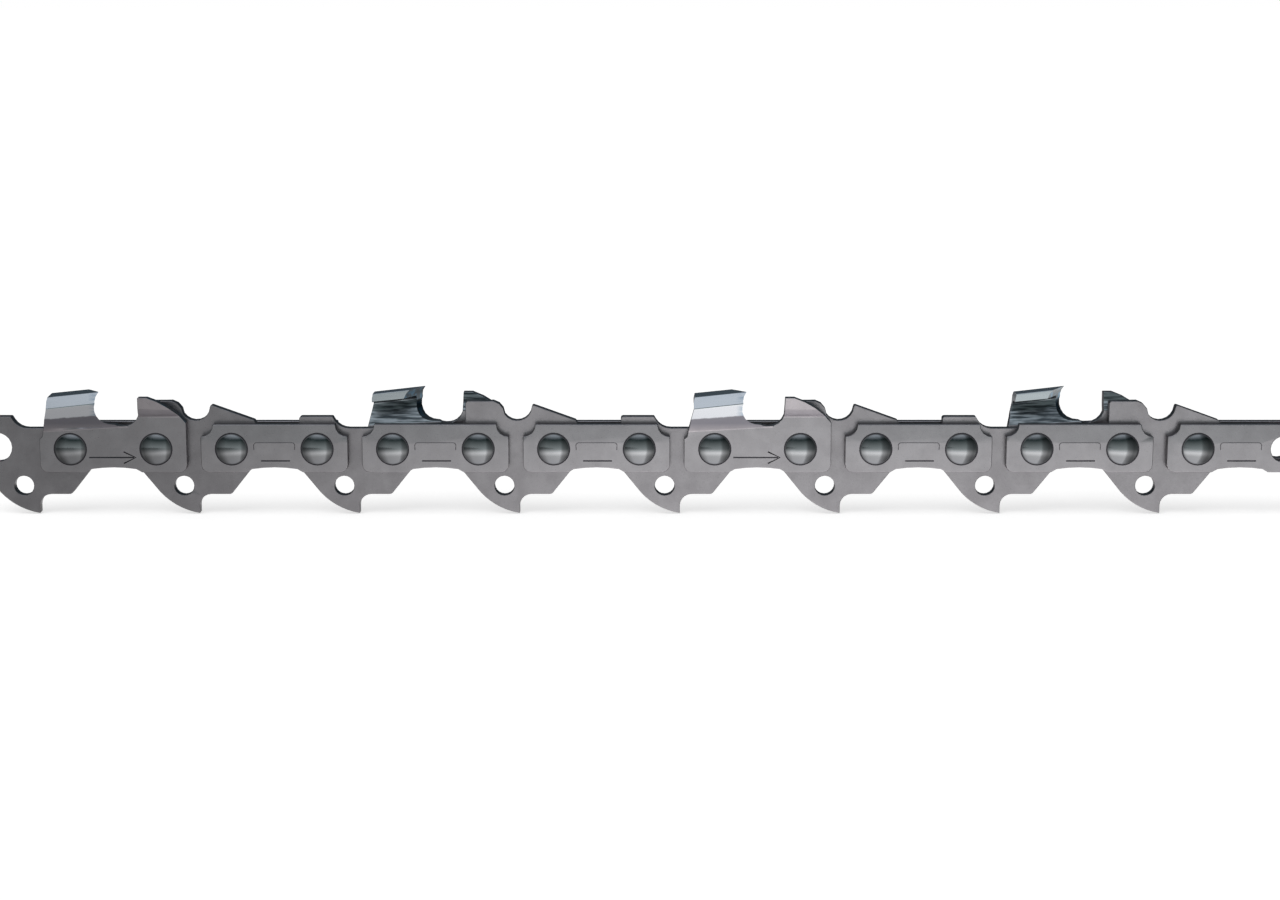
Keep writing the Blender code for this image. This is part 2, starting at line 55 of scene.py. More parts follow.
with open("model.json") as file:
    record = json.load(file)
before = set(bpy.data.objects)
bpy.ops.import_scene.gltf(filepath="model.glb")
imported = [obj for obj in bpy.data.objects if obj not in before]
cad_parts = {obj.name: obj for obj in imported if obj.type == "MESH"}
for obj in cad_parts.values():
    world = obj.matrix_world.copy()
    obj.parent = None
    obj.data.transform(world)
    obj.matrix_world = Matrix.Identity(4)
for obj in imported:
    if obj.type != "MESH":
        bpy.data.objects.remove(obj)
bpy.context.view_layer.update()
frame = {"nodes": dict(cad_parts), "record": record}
BODIES = frame["record"]["behaviour"]["bodies"]
BODY_OF = {node: body for body, nodes in BODIES.items() for node in nodes}


def rivet_axis(number):
    """The middle of a rivet, numbered from the rear."""
    low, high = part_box(f"rivet_{number:02d}")
    return (low + high) / 2


RIVET_PITCH = (rivet_axis(2) - rivet_axis(1)).x
HEAD_RADIUS = (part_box("rivet_01")[1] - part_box("rivet_01")[0]).x / 2
PLATE_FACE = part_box("tie_strap_4_left")[1].y


def linear(hex_colour):
    """The linear red, green and blue of an sRGB hex colour."""
    parts = [int(hex_colour[i : i + 2], 16) / 255 for i in (1, 3, 5)]
    return tuple(c / 12.92 if c <= 0.04045 else ((c + 0.055) / 1.055) ** 2.4 for c in parts)


def colour_property(name, description, hex_colour):
    """A colour that a user can change, with its default given as sRGB hex."""
    return FloatVectorProperty(
        name=name,
        description=description,
        subtype="COLOR",
        size=3,
        min=0.0,
        max=1.0,
        default=linear(hex_colour),
    )


def length_property(name, description, millimetres):
    """A length that a user can change, with its default in millimetres."""
    return FloatProperty(
        name=name,
        description=description,
        subtype="DISTANCE",
        unit="LENGTH",
        min=0.0,
        precision=5,
        default=millimetres * MM,
    )


class ChainSizes(PropertyGroup):
    """Sizes of the finish on the chain's pieces."""

    bend_round: length_property("Bend rounding", "Rounding of the cutter's bends", 0.09)
    edge_round: length_property("Edge rounding", "What tumbling takes off a sheared edge", 0.07)
    strap_round: length_property("Strap rounding", "Rounding of a tie strap's edges", 0.09)
    mark_width: length_property("Mark width", "Width of the short line and the arrow", 0.20)
    panel_width: length_property("Panel line width", "Width of the long line on a strap", 0.13)
    rivet_rim: length_property("Rivet rim", "Rounding at the rim of a rivet head", 0.06)
    rivet_sides: IntProperty(
        name="Rivet sides",
        description="Faces round each rivet",
        min=12,
        max=128,
        default=64,
    )


class ChainColours(PropertyGroup):
    """Colours of the chain's metals."""

    plate_light: colour_property("Plate", "Tumbled steel of the drive links", "#a49fa2")
    plate_dark: colour_property("Plate, darker", "Darker clouds in the links' steel", "#999497")
    strap: colour_property("Strap", "Brighter steel of the tie straps and cutters", "#aea9ac")
    strap_dark: colour_property("Strap, darker", "Darker clouds in the straps' steel", "#a5a0a3")
    # Sheared edge: torn steel, and painted shade on the plates' walls; the nicks use it too
    sheared: colour_property("Sheared edge", "Torn steel across the plates' edges", "#6c6a6c")
    # Stamped line: oil and scale, and painted shade in the grooves; the rivets' rim shadow uses it too
    stamped: colour_property("Stamped line", "Oil and scale left in the stamped lines", "#4b494d")
    filed: colour_property("Filed", "Dark blue steel that the file leaves", "#566067")
    # Inside the tooth: dark scale, and painted shade under the top plate, with worn streaks
    scale: colour_property("Scale", "Dark scale inside the cutter's tooth", "#4c5256")
    scale_light: colour_property("Scale, worn", "Streaks where the scale is worn", "#a2a9ad")
    # Painted shade in a band just under the cutter's chrome
    shade_band: colour_property("Stained", "Dull steel just under the chrome", "#86848a")
    chrome: colour_property("Chrome", "Hard chrome on the cutter's tooth", "#d6d8dc")
    tint: colour_property("Heat tint", "Blue left by grinding near the filed face", "#6488a0")
    rivet: colour_property("Rivet", "Peened rivet head", "#969799")


class StudioSettings(PropertyGroup):
    """Camera, floor and light."""

    focal_pixels: FloatProperty(
        name="Focal length in pixels",
        description="Distance of the eye from the picture, in pixels of the photograph",
        min=500.0,
        default=2700.0,
    )
    scale: length_property("Pixel size", "Size of a pixel on the nearest side plates", 0.1155)
    elevation: FloatProperty(
        name="Elevation",
        description="How far above the horizon the camera stands",
        subtype="ANGLE",
        unit="ROTATION",
        default=math.radians(10.4),
    )
    offset: length_property("Offset", "The picture's middle, in front of the middle rivet", 0.08)
    floor_glow: FloatProperty(
        name="Floor white",
        description="White of the floor where no light falls on it",
        min=0.0,
        max=1.0,
        default=0.62,
    )
    sun_strength: FloatProperty(
        name="Lamp strength", description="Strength of the soft lamp", min=0.0, default=0.9
    )


def add_node(tree, kind, settings=None, inputs=None):
    """Adds a node. An input is a plain value, or another node's output to link."""
    node = tree.nodes.new(kind)
    for name, value in (settings or {}).items():
        setattr(node, name, value)
    for name, value in (inputs or {}).items():
        if isinstance(value, bpy.types.NodeSocket):
            tree.links.new(value, node.inputs[name])
        else:
            node.inputs[name].default_value = value
    return node


def new_material(name):
    """An empty node material with its shader linked to the output."""
    material = bpy.data.materials.new(name)
    material.use_nodes = True
    tree = material.node_tree
    return material, tree, tree.nodes["Principled BSDF"]


def per_metre(millimetres):
    """How many features of a size in millimetres there are in a metre."""
    return 1000.0 / millimetres


def opaque(colour):
    """A colour with the fourth number that a node's colour input wants."""
    return (*colour, 1.0)


def laid_over(tree, colour, layers):
    """Lays colours over one another, each with the share of the surface that it covers."""
    for share, layer in layers:
        mixed = add_node(
            tree, "ShaderNodeMix", {"data_type": "RGBA"}, {0: share, 6: colour, 7: layer}
        )
        colour = mixed.outputs[2]
    return colour


# Millimetres: clouds in the strip's own finish, nicks, and tears that run across a sheared wall
CLOUD = 2.2
NICK = 0.14
TEAR = (0.11, 1.25, 0.11)
NICK_DEPTH = 0.006 * MM


def tumbled_finish(tree, place, light, dark):
    """What a tumbling barrel leaves on steel, as colour, roughness and relief.

    Soft clouds come from the strip's own finish. The nicks of the stones are finer than this on
    the real plates, and are drawn as coarse as a picture shows.
    """
    sheared = bpy.context.scene.chain_colours.sheared
    clouds = add_node(
        tree,
        "ShaderNodeTexNoise",
        {},
        {"Vector": place, "Scale": per_metre(CLOUD), "Detail": 3.0, "Roughness": 0.6},
    )
    nicks = add_node(
        tree,
        "ShaderNodeTexNoise",
        {},
        {"Vector": place, "Scale": per_metre(NICK), "Detail": 2.0, "Roughness": 0.6},
    ).outputs["Fac"]
    share = add_node(
        tree,
        "ShaderNodeMapRange",
        {},
        {"Value": clouds.outputs["Fac"], "From Min": 0.35, "From Max": 0.65},
    )
    nicked = add_node(
        tree,
        "ShaderNodeMapRange",
        {},
        {"Value": nicks, "From Min": 0.60, "From Max": 0.78, "To Max": 0.35},
    )
    layers = ((share.outputs[0], opaque(light)), (nicked.outputs[0], opaque(sheared)))
    colour = laid_over(tree, opaque(dark), layers)
    rough = add_node(
        tree,
        "ShaderNodeMapRange",
        {},
        {"Value": nicks, "From Min": 0.3, "From Max": 0.7, "To Min": 0.27, "To Max": 0.37},
    )
    return colour, rough.outputs[0], nicks


def sheared_finish_and_shade(tree, place, colour, rough, rim_share):
    """Roughens the sheared walls, and darkens them and the stamped lines.

    The darkening is partly torn steel and oil, and partly painted shade on the walls and in the
    grooves.
    """
    colours = bpy.context.scene.chain_colours
    rim = add_node(tree, "ShaderNodeAttribute", {"attribute_name": "rim"}).outputs["Fac"]
    line = add_node(tree, "ShaderNodeAttribute", {"attribute_name": "engraved"}).outputs["Fac"]
    # Painted shade on the walls, over the torn steel's own darker colour
    wall = add_node(
        tree, "ShaderNodeMapRange", {}, {"Value": rim, "From Min": 0.5, "To Max": rim_share}
    )
    layers = ((wall.outputs[0], opaque(colours.sheared)), (line, opaque(colours.stamped)))
    colour = laid_over(tree, colour, layers)
    rougher = add_node(
        tree, "ShaderNodeMath", {"operation": "MULTIPLY_ADD"}, {0: rim, 1: 0.12, 2: rough}
    )
    placed = add_node(
        tree,
        "ShaderNodeMapping",
        {"vector_type": "POINT"},
        {"Vector": place, "Scale": tuple(per_metre(size) for size in TEAR)},
    )
    tears = add_node(
        tree, "ShaderNodeTexNoise", {}, {"Vector": placed.outputs[0], "Scale": 1.0, "Detail": 2.0}
    )
    torn = add_node(
        tree, "ShaderNodeMath", {"operation": "MULTIPLY"}, {0: tears.outputs["Fac"], 1: rim}
    )
    return colour, rougher.outputs[0], torn.outputs[0]


def finish_shader(tree, shader, colour, rough, relief):
    """Links a metal's colour, roughness and relief to its shader."""
    bump = add_node(
        tree, "ShaderNodeBump", {}, {"Strength": 0.35, "Distance": NICK_DEPTH, "Height": relief}
    )
    shader.inputs["Metallic"].default_value = 1.0
    tree.links.new(colour, shader.inputs["Base Color"])
    tree.links.new(rough, shader.inputs["Roughness"])
    tree.links.new(bump.outputs[0], shader.inputs["Normal"])


def tumbled_steel(name, light, dark):
    """Stamped carbon steel, tumbled in a barrel: satin grey, with sheared walls that look torn.

    The walls are darkened too, as painted shade.
    """
    material, tree, shader = new_material(name)
    place = add_node(tree, "ShaderNodeTexCoord").outputs["Object"]
    colour, rough, nicks = tumbled_finish(tree, place, light, dark)
    colour, rough, torn = sheared_finish_and_shade(tree, place, colour, rough, 0.85)
    relief = add_node(
        tree, "ShaderNodeMath", {"operation": "MULTIPLY_ADD"}, {0: torn, 1: 2.0, 2: nicks}
    )
    finish_shader(tree, shader, colour, rough, relief.outputs[0])
    return material


def link_steel():
    """The drive links' steel, tumbled as it was stamped."""
    colours = bpy.context.scene.chain_colours
    return tumbled_steel("tumbled_link_steel", colours.plate_light, colours.plate_dark)


def strap_steel():
    """The tie straps' steel, a little brighter than the drive links'."""
    colours = bpy.context.scene.chain_colours
    return tumbled_steel("tumbled_strap_steel", colours.strap, colours.strap_dark)


# Millimetres along and up from the rear rivet: the chrome's lower edge climbs to the front and
# ends past the tooth, painted shade lies in a band under it, and the heat tint nears the filed face
CHROME_EDGE = 3.82
CHROME_RISE = 0.07
CHROME_END = 5.6
CHROME_FADE = 0.1
SHADE_BAND = (2.2, 3.1)
TINT = (2.4, 4.0)
WAVER = 0.8
STREAK = (3.0, 0.3, 0.3)
STREAK_LEAN = 0.12


def cutter_steel():
    """Alloy steel with hard chrome on the tooth: mirror bright, tinted blue where it is ground.

    Below the tooth it is the same satin as the other plates, with a band of painted shade just
    under the chrome, whose lower edge wavers as the bath did. The inside of the tooth is dark and
    streaky: its scale, and painted shade under the top plate.
    """
    colours = bpy.context.scene.chain_colours
    material, tree, shader = new_material("hard_chromed_cutter_steel")
    place = add_node(tree, "ShaderNodeTexCoord").outputs["Object"]
    satin, satin_rough, nicks = tumbled_finish(tree, place, colours.strap, colours.strap_dark)
    along, up, inside, filed = (
        add_node(tree, "ShaderNodeAttribute", {"attribute_name": name}).outputs["Fac"]
        for name in ("along", "up", "inside", "filed")
    )
    edge = add_node(
        tree,
        "ShaderNodeMath",
        {"operation": "MULTIPLY_ADD"},
        {0: along, 1: CHROME_RISE, 2: CHROME_EDGE},
    )
    waver = add_node(
        tree, "ShaderNodeTexNoise", {}, {"Vector": place, "Scale": per_metre(WAVER), "Detail": 2.0}
    ).outputs["Fac"]
    height = add_node(
        tree, "ShaderNodeMath", {"operation": "SUBTRACT"}, {0: up, 1: edge.outputs[0]}
    )
    wavering = add_node(
        tree,
        "ShaderNodeMath",
        {"operation": "MULTIPLY_ADD"},
        {0: waver, 1: 0.25, 2: height.outputs[0]},
    )
    tooth = add_node(
        tree,
        "ShaderNodeMapRange",
        {},
        {"Value": along, "From Min": CHROME_END + CHROME_FADE, "From Max": CHROME_END},
    )
    chromed = add_node(
        tree,
        "ShaderNodeMapRange",
        {},
        {
            "Value": wavering.outputs[0],
            "From Min": 0.06,
            "From Max": 0.20,
            "To Max": tooth.outputs[0],
        },
    ).outputs[0]
    # Where the band of painted shade lies: the tooth from SHADE_BAND's heights up, under the chrome
    raised = add_node(
        tree,
        "ShaderNodeMapRange",
        {},
        {"Value": up, "From Min": SHADE_BAND[0], "From Max": SHADE_BAND[1], "To Max": tooth.outputs[0]},
    )
    placed = add_node(
        tree,
        "ShaderNodeMapping",
        {"vector_type": "POINT"},
        {
            "Vector": place,
            "Rotation": (0.0, STREAK_LEAN, 0.0),
            "Scale": tuple(per_metre(size) for size in STREAK),
        },
    )
    streaks = add_node(
        tree, "ShaderNodeTexNoise", {}, {"Vector": placed.outputs[0], "Scale": 1.0, "Detail": 3.0}
    ).outputs["Fac"]
    near_edge = add_node(
        tree, "ShaderNodeMapRange", {}, {"Value": along, "From Min": TINT[0], "From Max": TINT[1]}
    )
    patterned = []
    for pattern, low, high, most, first, second in (
        (streaks, 0.44, 0.58, near_edge.outputs[0], colours.chrome, colours.tint),
        (streaks, 0.42, 0.62, 1.0, colours.scale, colours.scale_light),
        (waver, 0.5, 0.62, 1.0, colours.filed, colours.tint),
    ):
        share = add_node(
            tree,
            "ShaderNodeMapRange",
            {},
            {"Value": pattern, "From Min": low, "From Max": high, "To Max": most},
        )
        layers = ((share.outputs[0], opaque(second)),)
        patterned.append(laid_over(tree, opaque(first), layers))
    shares = (raised.outputs[0], chromed, inside, filed)
    colour = laid_over(tree, satin, zip(shares, (opaque(colours.shade_band), *patterned)))
    bright_rough = add_node(
        tree,
        "ShaderNodeMapRange",
        {},
        {"Value": streaks, "From Min": 0.3, "From Max": 0.7, "To Min": 0.08, "To Max": 0.16},
    )
    polished = add_node(
        tree, "ShaderNodeMapRange", {}, {"Value": inside, "To Min": chromed, "To Max": 0.0}
    )
    rough = add_node(
        tree,
        "ShaderNodeMix",
        {"data_type": "FLOAT"},
        {0: polished.outputs[0], 2: satin_rough, 3: bright_rough.outputs[0]},
    )
    unchromed = add_node(
        tree, "ShaderNodeMapRange", {}, {"Value": chromed, "To Min": 0.6, "To Max": 0.0}
    )
    colour, rough, torn = sheared_finish_and_shade(
        tree, place, colour, rough.outputs[0], unchromed.outputs[0]
    )
    dull = add_node(
        tree, "ShaderNodeMapRange", {}, {"Value": chromed, "To Min": 1.0, "To Max": 0.12}
    )
    relief = add_node(
        tree,
        "ShaderNodeMath",
        {"operation": "MULTIPLY_ADD"},
        {0: nicks, 1: dull.outputs[0], 2: torn},
    )
    finish_shader(tree, shader, colour, rough, relief.outputs[0])
    return material


# Millimetres: the peening tool's rings, dents in a head, and how far painted shadow reaches in
# from its rim, over the dark seam there
RING = 0.11
DENT = 0.25
RIM_SHADOW_WIDTH = 0.16


def peened_steel():
    """Rivet steel, spun over and burnished by the peening tool: bright, in fine rings.

    The rings are drawn coarser than the tool's own, so that they show.
    """
    colours = bpy.context.scene.chain_colours
    material, tree, shader = new_material("peened_rivet_steel")
    place = add_node(tree, "ShaderNodeTexCoord").outputs["Object"]
    radius = add_node(tree, "ShaderNodeAttribute", {"attribute_name": "from_axis"}).outputs["Fac"]
    dents = add_node(
        tree, "ShaderNodeTexNoise", {}, {"Vector": place, "Scale": per_metre(DENT), "Detail": 2.0}
    ).outputs["Fac"]
    wander = add_node(
        tree,
        "ShaderNodeMath",
        {"operation": "MULTIPLY_ADD"},
        {0: radius, 1: per_metre(RING), 2: dents},
    )
    ring_place = add_node(tree, "ShaderNodeCombineXYZ", {}, {"X": wander.outputs[0]})
    rings = add_node(
        tree,
        "ShaderNodeTexNoise",
        {},
        {"Vector": ring_place.outputs[0], "Scale": 1.0, "Detail": 1.0},
    )
    # Painted shadow darkens the head's outer rim and the ring round it, over a dark seam
    rim_shadow = add_node(
        tree,
        "ShaderNodeMapRange",
        {},
        {"Value": radius, "From Min": HEAD_RADIUS - RIM_SHADOW_WIDTH * MM, "From Max": HEAD_RADIUS},
    )
    layers = ((rim_shadow.outputs[0], opaque(colours.stamped)),)
    colour = laid_over(tree, opaque(colours.rivet), layers)
    rough = add_node(
        tree,
        "ShaderNodeMapRange",
        {},
        {"Value": dents, "From Min": 0.3, "From Max": 0.7, "To Min": 0.07, "To Max": 0.13},
    )
    dull = add_node(
        tree,
        "ShaderNodeMath",
        {"operation": "MULTIPLY_ADD"},
        {0: rim_shadow.outputs[0], 1: 0.5, 2: rough.outputs[0]},
    )
    relief = add_node(
        tree,
        "ShaderNodeMath",
        {"operation": "MULTIPLY_ADD"},
        {0: dents, 1: 0.6, 2: rings.outputs["Fac"]},
    )
    finish_shader(tree, shader, colour, dull.outputs[0], relief.outputs[0])
    return material


def shared(library, name, make):
    """A material or a tree that is made the first time it is wanted."""
    return library.get(name) or make()


def new_tree(name, inputs):
    """An empty geometry tree with a geometry input and output, and the named inputs."""
    tree = bpy.data.node_groups.new(name, "GeometryNodeTree")
    tree.interface.new_socket("Geometry", in_out="INPUT", socket_type="NodeSocketGeometry")
    for label, kind in inputs.items():
        tree.interface.new_socket(label, in_out="INPUT", socket_type=kind)
    tree.interface.new_socket("Geometry", in_out="OUTPUT", socket_type="NodeSocketGeometry")
    return tree


def end_tree(tree, geometry, material):
    """Ends a geometry tree: real geometry with its material."""
    real = add_node(tree, "GeometryNodeRealizeInstances", {}, {"Geometry": geometry})
    dressed = add_node(
        tree, "GeometryNodeSetMaterial", {}, {"Geometry": real.outputs[0], "Material": material}
    )
    add_node(tree, "NodeGroupOutput", {}, {"Geometry": dressed.outputs[0]})


def stamped_line_tree():
    """Cuts lines into a plate with a round tool that follows their path."""
    inputs = {
        "Lines": "NodeSocketObject",
        "Width": "NodeSocketFloat",
        "Darkness": "NodeSocketFloat",
        "Material": "NodeSocketMaterial",
    }
    tree = new_tree("stamped_lines", inputs)
    given = add_node(tree, "NodeGroupInput")
    lines = add_node(tree, "GeometryNodeObjectInfo", {}, {"Object": given.outputs["Lines"]})
    path = add_node(tree, "GeometryNodeMeshToCurve", {}, {"Mesh": lines.outputs["Geometry"]})
    half = add_node(
        tree, "ShaderNodeMath", {"operation": "MULTIPLY"}, {0: given.outputs["Width"], 1: 0.5}
    )
    tool = add_node(
        tree,
        "GeometryNodeCurvePrimitiveCircle",
        {"mode": "RADIUS"},
        {"Resolution": 8, "Radius": half.outputs[0]},
    )
    swept = add_node(
        tree,
        "GeometryNodeCurveToMesh",
        {},
        {"Curve": path.outputs[0], "Profile Curve": tool.outputs["Curve"], "Fill Caps": True},
    )
    # The groove's faces are marked, and the metals darken them with oil and painted shade
    marked = add_node(
        tree,
        "GeometryNodeStoreNamedAttribute",
        {"data_type": "FLOAT", "domain": "FACE"},
        {"Geometry": swept.outputs[0], "Name": "engraved", "Value": given.outputs["Darkness"]},
    )
    cut = add_node(
        tree,
        "GeometryNodeMeshBoolean",
        {"operation": "DIFFERENCE", "solver": "EXACT"},
        {
            "Mesh 1": given.outputs["Geometry"],
            "Mesh 2": marked.outputs[0],
            "Self Intersection": True,
        },
    )
    end_tree(tree, cut.outputs["Mesh"], given.outputs["Material"])
    return tree


def turned_rivet_tree():
    """Turns a half profile about Y and repeats the result in a row along X."""
    inputs = {
        "Count": "NodeSocketInt",
        "First": "NodeSocketVector",
        "Spacing": "NodeSocketFloat",
        "Sides": "NodeSocketInt",
        "Material": "NodeSocketMaterial",
    }
    tree = new_tree("turned_rivets", inputs)
    given = add_node(tree, "NodeGroupInput")
    profile = given.outputs["Geometry"]
    size = add_node(
        tree, "GeometryNodeAttributeDomainSize", {"component": "MESH"}, {"Geometry": profile}
    ).outputs["Point Count"]
    columns = add_node(
        tree, "ShaderNodeMath", {"operation": "ADD"}, {0: given.outputs["Sides"], 1: 1.0}
    )
    grid = add_node(
        tree, "GeometryNodeMeshGrid", {}, {"Vertices X": columns.outputs[0], "Vertices Y": size}
    )
    number = add_node(tree, "GeometryNodeInputIndex").outputs[0]
    along = add_node(tree, "ShaderNodeMath", {"operation": "MODULO"}, {0: number, 1: size})
    rounds = add_node(tree, "ShaderNodeMath", {"operation": "DIVIDE"}, {0: number, 1: size})
    column = add_node(tree, "ShaderNodeMath", {"operation": "FLOOR"}, {0: rounds.outputs[0]})
    point = add_node(
        tree,
        "GeometryNodeSampleIndex",
        {"data_type": "FLOAT_VECTOR", "domain": "POINT"},
        {
            "Geometry": profile,
            "Value": add_node(tree, "GeometryNodeInputPosition").outputs[0],
            "Index": along.outputs[0],
        },
    )
    share = add_node(
        tree,
        "ShaderNodeMath",
        {"operation": "DIVIDE"},
        {0: column.outputs[0], 1: given.outputs["Sides"]},
    )
    turn = add_node(
        tree, "ShaderNodeMath", {"operation": "MULTIPLY"}, {0: share.outputs[0], 1: 2 * math.pi}
    )
    turned = add_node(
        tree,
        "ShaderNodeVectorRotate",
        {"rotation_type": "Y_AXIS"},
        {"Vector": point.outputs["Value"], "Angle": turn.outputs[0]},
    )
    shaped = add_node(
        tree,
        "GeometryNodeSetPosition",
        {},
        {"Geometry": grid.outputs["Mesh"], "Position": turned.outputs[0]},
    )
    radius = add_node(tree, "ShaderNodeSeparateXYZ", {}, {0: point.outputs["Value"]})
    marked = add_node(
        tree,
        "GeometryNodeStoreNamedAttribute",
        {"data_type": "FLOAT", "domain": "POINT"},
        {"Geometry": shaped.outputs[0], "Name": "from_axis", "Value": radius.outputs["X"]},
    )
    closed = add_node(
        tree, "GeometryNodeMergeByDistance", {}, {"Geometry": marked.outputs[0], "Distance": JOIN}
    )
    step = add_node(tree, "ShaderNodeCombineXYZ", {}, {"X": given.outputs["Spacing"]})
    row = add_node(
        tree,
        "GeometryNodeMeshLine",
        {"mode": "OFFSET"},
        {
            "Count": given.outputs["Count"],
            "Start Location": given.outputs["First"],
            "Offset": step.outputs[0],
        },
    )
    placed = add_node(
        tree,
        "GeometryNodeInstanceOnPoints",
        {},
        {"Points": row.outputs["Mesh"], "Instance": closed.outputs["Geometry"]},
    )
    end_tree(tree, placed.outputs["Instances"], given.outputs["Material"])
    return tree


def add_tree_modifier(item, tree, values):
    """A Geometry Nodes modifier with its inputs set by their sockets' identifiers."""
    modifier = item.modifiers.new(tree.name, "NODES")
    modifier.node_group = tree
    for socket in tree.interface.items_tree:
        if socket.in_out == "INPUT" and socket.name in values:
            modifier[socket.identifier] = values[socket.name]


def new_object(name, mesh):
    """An object at the origin, in the scene."""
    item = bpy.data.objects.new(name, mesh)
    bpy.context.scene.collection.objects.link(item)
    return item


def settle(item):
    """Turns an object's modifiers into its own plain mesh."""
    graph = bpy.context.evaluated_depsgraph_get()
    mesh = bpy.data.meshes.new_from_object(item.evaluated_get(graph))
    mesh.name = item.name
    item.modifiers.clear()
    item.data = mesh


def store(mesh, name, domain, values):
    """Stores a number on each face or point."""
    mesh.attributes.new(name, "FLOAT", domain).data.foreach_set("value", values)


# Faces that meet at less than FLAT are one face. Sharper bends than BEND and sharper cuts than CUT
# are rounded, and a piece's shading breaks at SHARP, or on a rivet at RIVET_SHARP.
FLAT = math.radians(0.6)
BEND = math.radians(12)
CUT = math.radians(40)
SHARP = math.radians(50)
RIVET_SHARP = math.radians(40)
ROUND_STEPS = 3
PLATE_SHORTEST = 0.01 * MM
CUTTER_SHORTEST = 0.04 * MM


def solid_copy(node, shortest):
    """A copy of a CAD node, with its triangles joined into whole faces and no shorter edges."""
    bm = bmesh.new()
    bm.from_mesh(frame["nodes"][node].data)
    bmesh.ops.remove_doubles(bm, verts=bm.verts, dist=JOIN)
    bmesh.ops.dissolve_limit(bm, angle_limit=FLAT, verts=bm.verts, edges=bm.edges)
    bmesh.ops.dissolve_degenerate(bm, dist=shortest, edges=bm.edges)
    return bm


# Shares of a face's normal: the sheet's own faces look sideways by more than the first and along
# the chain by less than the second. Flat faces look sideways by FLAT_SIDE, and walls by RIM_SPAN
# less, or neither sideways nor along by WALL_SIDE.
SHEET_SIDE = 0.03
SHEET_ALONG = 0.2
FLAT_SIDE = 0.99
RIM_SPAN = 0.9
WALL_SIDE = 0.3


def is_sheet(face):
    """Whether a face is the sheet's own surface, and not cut across it."""
    return abs(face.normal.y) > SHEET_SIDE and abs(face.normal.x) < SHEET_ALONG


def weigh_edges(bm, bend_share, edge_share, is_filed=lambda point: False):
    """Marks how much each edge is rounded: bends of the sheet, and its cut edges but the filed."""
    weight = bm.edges.layers.float.new("bevel_weight_edge")
    for edge in bm.edges:
        angle = abs(edge.calc_face_angle(0.0))
        if all(is_sheet(face) for face in edge.link_faces):
            edge[weight] = bend_share if angle > BEND else 0.0
        elif angle > CUT and not any(is_filed(vert.co) for vert in edge.verts):
            edge[weight] = edge_share


def round_edges(item, width):
    """Bevels the marked edges."""
    bevel = item.modifiers.new("rounding", "BEVEL")
    bevel.limit_method = "WEIGHT"
    bevel.width = width
    bevel.segments = ROUND_STEPS
    bevel.use_clamp_overlap = False
    settle(item)


def mark_rims(mesh):
    """Marks flat faces 0, rounded edges between 0 and 1, and walls 1."""
    rims = []
    for face in mesh.polygons:
        side = abs(face.normal.y)
        slant = max(0.0, min(1.0, (FLAT_SIDE - side) / RIM_SPAN))
        rims.append(slant if abs(face.normal.x) + side > WALL_SIDE else 1.0)
    store(mesh, "rim", "FACE", rims)


def even_shading(item):
    """Smooth shading with flat faces kept flat."""
    item.data.shade_smooth()
    item.data.set_sharp_from_angle(angle=SHARP)
    weighted = item.modifiers.new("shading", "WEIGHTED_NORMAL")
    weighted.keep_sharp = True
    settle(item)


def bare_mesh(name, bm):
    """A mesh from a bmesh, without the import's stored shading."""
    mesh = bpy.data.meshes.new(name)
    bm.to_mesh(mesh)
    bm.free()
    for stored in ("custom_normal", "sharp_edge", "sharp_face"):
        layer = mesh.attributes.get(stored)
        if layer:
            mesh.attributes.remove(layer)
    return mesh


def stamp_lines(item, paths, width, darkness, material):
    """Cuts the paths into a piece. Each path is a list of points in the frame's own axes."""
    points = [point for path in paths for point in path]
    links = []
    start = 0
    for path in paths:
        links += [(start + i, start + i + 1) for i in range(len(path) - 1)]
        start += len(path)
    mesh = bpy.data.meshes.new("line_paths")
    mesh.from_pydata(points, links, [])
    guide = new_object("line_paths", mesh)
    values = {"Lines": guide, "Width": width, "Darkness": darkness, "Material": material}
    tree = shared(bpy.data.node_groups, "stamped_lines", stamped_line_tree)
    add_tree_modifier(item, tree, values)
    settle(item)
    bpy.data.objects.remove(guide)


def stand_for(item, nodes):
    """Rides a finished piece on its body in place of its CAD nodes."""
    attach(item, BODY_OF[nodes[0]])
    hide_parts(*nodes)


def nodes_named(*prefixes):
    """CAD nodes whose names start with one of the prefixes."""
    return sorted(node for node in frame["nodes"] if node.startswith(prefixes))


def rear_rivet(node):
    """The axis of a side plate's rear rivet, and the side that the plate is on."""
    low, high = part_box(node)
    side = 1.0 if high.y + low.y > 0 else -1.0
    number = next(int(word) for word in node.split("_") if word.isdigit())
    return rivet_axis(2 * number - 1), side


# How far above its rivets a strap's long line lies, and how steeply its face leans back above it
PANEL_TOP = 0.75 * MM
PANEL_LEAN = 0.045
FACE_SLACK = 0.01 * MM


def lean_above_panel(bm, axis, side):
    """Leans a strap's face back above its long line, where the coining tool let it go."""
    geometry = [*bm.verts, *bm.edges, *bm.faces]
    line = (0, 0, axis.z + PANEL_TOP)
    bmesh.ops.bisect_plane(bm, geom=geometry, plane_co=line, plane_no=(0, 0, 1))
    for vert in bm.verts:
        above = vert.co.z - axis.z - PANEL_TOP
        if above > 0 and vert.co.y * side > PLATE_FACE - FACE_SLACK:
            vert.co.y -= side * PANEL_LEAN * above


# The end of a bumper's ramp: between which heights above the rivets, and how far from the front
RAMP_END = (3.3 * MM, 3.6 * MM)
RAMP_REACH = 2.0 * MM
RAMP_DROP = 0.25 * MM


